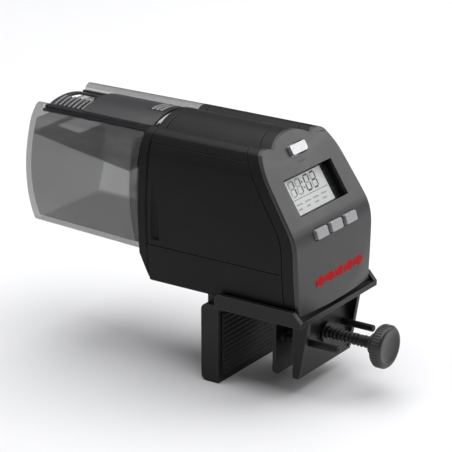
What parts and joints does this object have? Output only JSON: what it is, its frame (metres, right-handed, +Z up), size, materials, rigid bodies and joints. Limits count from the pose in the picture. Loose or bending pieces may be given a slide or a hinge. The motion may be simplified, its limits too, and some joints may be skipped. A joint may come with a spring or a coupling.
{
  "type": "automatic pet feeder",
  "caption": "Battery aquarium feeder: smoke-clear food drum turned by a black housing with a slanted display face, held on a glass-edge clamp with a knurled thumbscrew.",
  "frame": {"origin": "on the fixed jaw's pad, level with the clamp screw", "axes": "+X from the food drum towards the control face and out along the clamp screw, +Z up"},
  "size_m": [0.1783, 0.065, 0.1141],
  "materials": {
    "black_housing": "fine textured matt black",
    "dark_satin_face": "dark grey satin",
    "black_bracket": "matt black",
    "smoke_clear": "smoke grey transparent plastic",
    "smoke_lid": "dark smoke plastic",
    "black_drum_part": "semi-gloss black",
    "light_ribs": "light grey grip ribs",
    "silver_button": "silver metallic lacquer",
    "clear_lens": "clear window",
    "lcd_glass": "grey-green reflective LCD",
    "rubber_pad": "soft black rubber",
    "steel": "bright steel",
    "motor_can": "zinc plated can",
    "white_gear": "natural acetal",
    "circuit_board": "green solder mask",
    "cell_sleeve": "plain cell sleeve",
    "nickel_contact": "nickel plated spring steel"
  },
  "bodies": {
    "bracket": {"bracket_frame": "black_bracket", "jaw_pad": "rubber_pad"},
    "clamp": {"clamp_plate": "black_bracket", "clamp_pad": "rubber_pad", "guide_pins": "black_bracket"},
    "screw": {"clamp_screw": "black_bracket", "screw_knob": "black_bracket"},
    "housing": {"rear_cap": "black_housing", "rear_shell": "black_housing", "bay_wall": "black_housing", "base_cover": "black_housing", "front_shell": "black_housing", "face_plate": "dark_satin_face", "housing_screws": "steel", "lcd_frame": "black_housing", "lcd_lens": "clear_lens", "lcd_panel": "lcd_glass", "main_board": "circuit_board", "button_board": "circuit_board", "button_switches": "black_drum_part", "shaft_bush": "white_gear", "idler_axle": "steel", "gearbox_plate": "black_drum_part", "motor": "motor_can", "position_switch": "black_drum_part", "gearbox_screws": "steel", "battery_tray": "black_drum_part", "battery_cells": "cell_sleeve", "battery_contacts": "nickel_contact", "battery_springs": "nickel_contact"},
    "battery_door": {"battery_door": "black_housing"},
    "set_button_left": {"set_button_left": "silver_button"},
    "set_button_middle": {"set_button_middle": "silver_button"},
    "set_button_right": {"set_button_right": "silver_button"},
    "feed_button": {"feed_button": "silver_button"},
    "motor_rotor": {"motor_pinion": "white_gear"},
    "idler": {"idler_gear": "white_gear"},
    "drive": {"drive_shaft": "white_gear", "output_gear": "white_gear"},
    "drum": {"drum_shell": "smoke_clear", "drum_collar": "smoke_clear", "drum_baffle": "smoke_clear"},
    "lid": {"drum_lid": "smoke_lid", "lid_ribs": "light_ribs"},
    "shutter": {"dosing_shutter": "black_drum_part"}
  },
  "joints": [
    {"name": "clamp_slide", "type": "slide", "parent": "bracket", "child": "clamp", "axis": [1, 0, 0], "range_m": [-0.017, 0.0055]},
    {"name": "screw_turn", "type": "hinge", "parent": "clamp", "child": "screw", "pos_m": [0, 0, 0], "axis": [1, 0, 0], "range_deg": [-3061, 991]},
    {"name": "housing_slide", "type": "slide", "parent": "bracket", "child": "housing", "axis": [-1, 0, 0], "range_m": [0, 0.045]},
    {"name": "battery_door_pull", "type": "slide", "parent": "housing", "child": "battery_door", "axis": [0, -1, 0], "range_m": [0, 0.03]},
    {"name": "set_button_left_press", "type": "slide", "parent": "housing", "child": "set_button_left", "axis": [-0.9511, 0, -0.309], "range_m": [0, 0.0006], "stiffness_N_per_m": 300, "springref_m": -0.001},
    {"name": "set_button_middle_press", "type": "slide", "parent": "housing", "child": "set_button_middle", "axis": [-0.9511, 0, -0.309], "range_m": [0, 0.0006], "stiffness_N_per_m": 300, "springref_m": -0.001},
    {"name": "set_button_right_press", "type": "slide", "parent": "housing", "child": "set_button_right", "axis": [-0.9511, 0, -0.309], "range_m": [0, 0.0006], "stiffness_N_per_m": 300, "springref_m": -0.001},
    {"name": "feed_button_press", "type": "slide", "parent": "housing", "child": "feed_button", "axis": [-0.8415, 0, -0.5402], "range_m": [0, 0.0008], "stiffness_N_per_m": 300, "springref_m": -0.001},
    {"name": "drum_spin", "type": "hinge", "parent": "housing", "child": "drive", "pos_m": [-0.0435, 0, 0.0596], "axis": [1, 0, 0], "continuous": true},
    {"name": "idler_spin", "type": "hinge", "parent": "housing", "child": "idler", "pos_m": [-0.037, 0.01273, 0.04687], "axis": [1, 0, 0], "continuous": true},
    {"name": "motor_spin", "type": "hinge", "parent": "housing", "child": "motor_rotor", "pos_m": [-0.033, 0.01569, 0.06158], "axis": [1, 0, 0], "continuous": true},
    {"name": "drum_pull", "type": "slide", "parent": "drive", "child": "drum", "axis": [-1, 0, 0], "range_m": [0, 0.03]},
    {"name": "lid_slide", "type": "slide", "parent": "drum", "child": "lid", "axis": [-1, 0, 0], "range_m": [0, 0.055]},
    {"name": "shutter_slide", "type": "slide", "parent": "lid", "child": "shutter", "axis": [-1, 0, 0], "range_m": [0, 0.014]}
  ],
  "couplings": [
    {"joint": "screw_turn", "follows": "clamp_slide", "rad_per_m": 3141.6},
    {"joint": "idler_spin", "follows": "drum_spin", "ratio": -4},
    {"joint": "motor_spin", "follows": "drum_spin", "ratio": 16}
  ]
}
